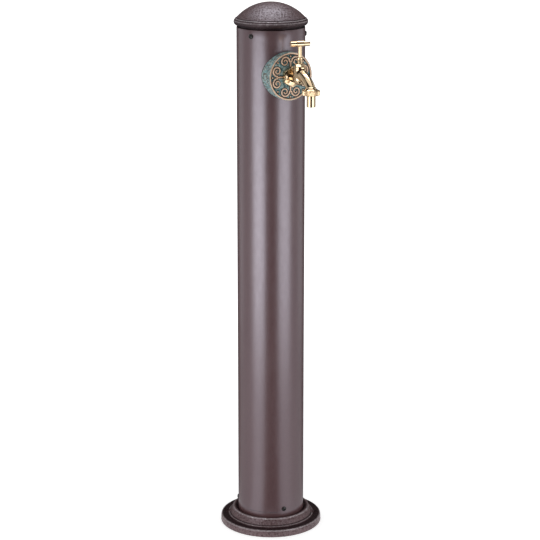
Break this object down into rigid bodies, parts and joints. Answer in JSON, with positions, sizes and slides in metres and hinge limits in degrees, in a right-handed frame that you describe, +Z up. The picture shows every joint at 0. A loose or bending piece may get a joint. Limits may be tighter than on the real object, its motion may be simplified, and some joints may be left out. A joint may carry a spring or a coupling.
{
  "type": "garden standpipe",
  "caption": "Round garden water column with a cast base and domed cap, a scroll rosette, and a bib tap with a T-handle, union nut and hose tail.",
  "frame": {"origin": "centre of the base's underside, on the column's axis", "axes": "+Z up along the column, -Y towards the tap's outlet"},
  "size_m": [0.193, 0.2611, 0.9998],
  "materials": {
    "column_paint": "satin antique brown paint",
    "cast_paint": "satin antique brown paint over sand-cast grain",
    "black_screw": "dark painted steel",
    "verdigris_bronze": "verdigris patina with rubbed copper-coloured ridges",
    "polished_brass": "polished",
    "plain_brass": "machined",
    "galvanised_steel": "galvanised",
    "galvanised_iron": "galvanised malleable iron",
    "black_rubber": "matt",
    "red_fibre": "matt",
    "black_plastic": "matt"
  },
  "bodies": {
    "column": {"base_flange": "cast_paint", "column_tube": "column_paint", "dome_cap": "cast_paint", "base_screws": "black_screw", "cap_screws": "black_screw", "rosette": "verdigris_bronze", "tap_body": "polished_brass", "inlet_washer": "red_fibre", "wall_nipple": "plain_brass", "saddle_washer": "black_rubber", "lock_nut": "plain_brass", "elbow": "galvanised_iron", "riser_pipe": "galvanised_steel", "supply_coupling": "plain_brass", "riser_guide": "black_plastic", "bonnet_washer": "red_fibre", "bonnet": "polished_brass", "gland_packing": "black_rubber", "gland_nut": "polished_brass"},
    "valve": {"jumper": "plain_brass", "jumper_washer": "black_rubber", "jumper_nut": "plain_brass"},
    "handle": {"spindle": "polished_brass", "tee_handle": "polished_brass"},
    "hose_connector": {"hose_tail": "polished_brass", "hose_washer": "black_rubber"},
    "union_ring": {"union_nut": "polished_brass"}
  },
  "joints": [
    {"name": "valve_lift", "type": "slide", "parent": "column", "child": "valve", "axis": [0, 0, 1], "range_m": [0, 0.003]},
    {"name": "handle_turn", "type": "hinge", "parent": "valve", "child": "handle", "pos_m": [0, -0.108, 0.9], "axis": [0, 0, 1], "range_deg": [0, 720]},
    {"name": "tail_drop", "type": "slide", "parent": "column", "child": "hose_connector", "axis": [0, 0, -1], "range_m": [0, 0.00363]},
    {"name": "union_turn", "type": "hinge", "parent": "hose_connector", "child": "union_ring", "pos_m": [0, -0.1486, 0.855], "axis": [0, 0, -1], "range_deg": [0, 720]}
  ],
  "couplings": [
    {"joint": "handle_turn", "follows": "valve_lift", "rad_per_m": 4188.8},
    {"joint": "union_turn", "follows": "tail_drop", "rad_per_m": 3463.7}
  ]
}
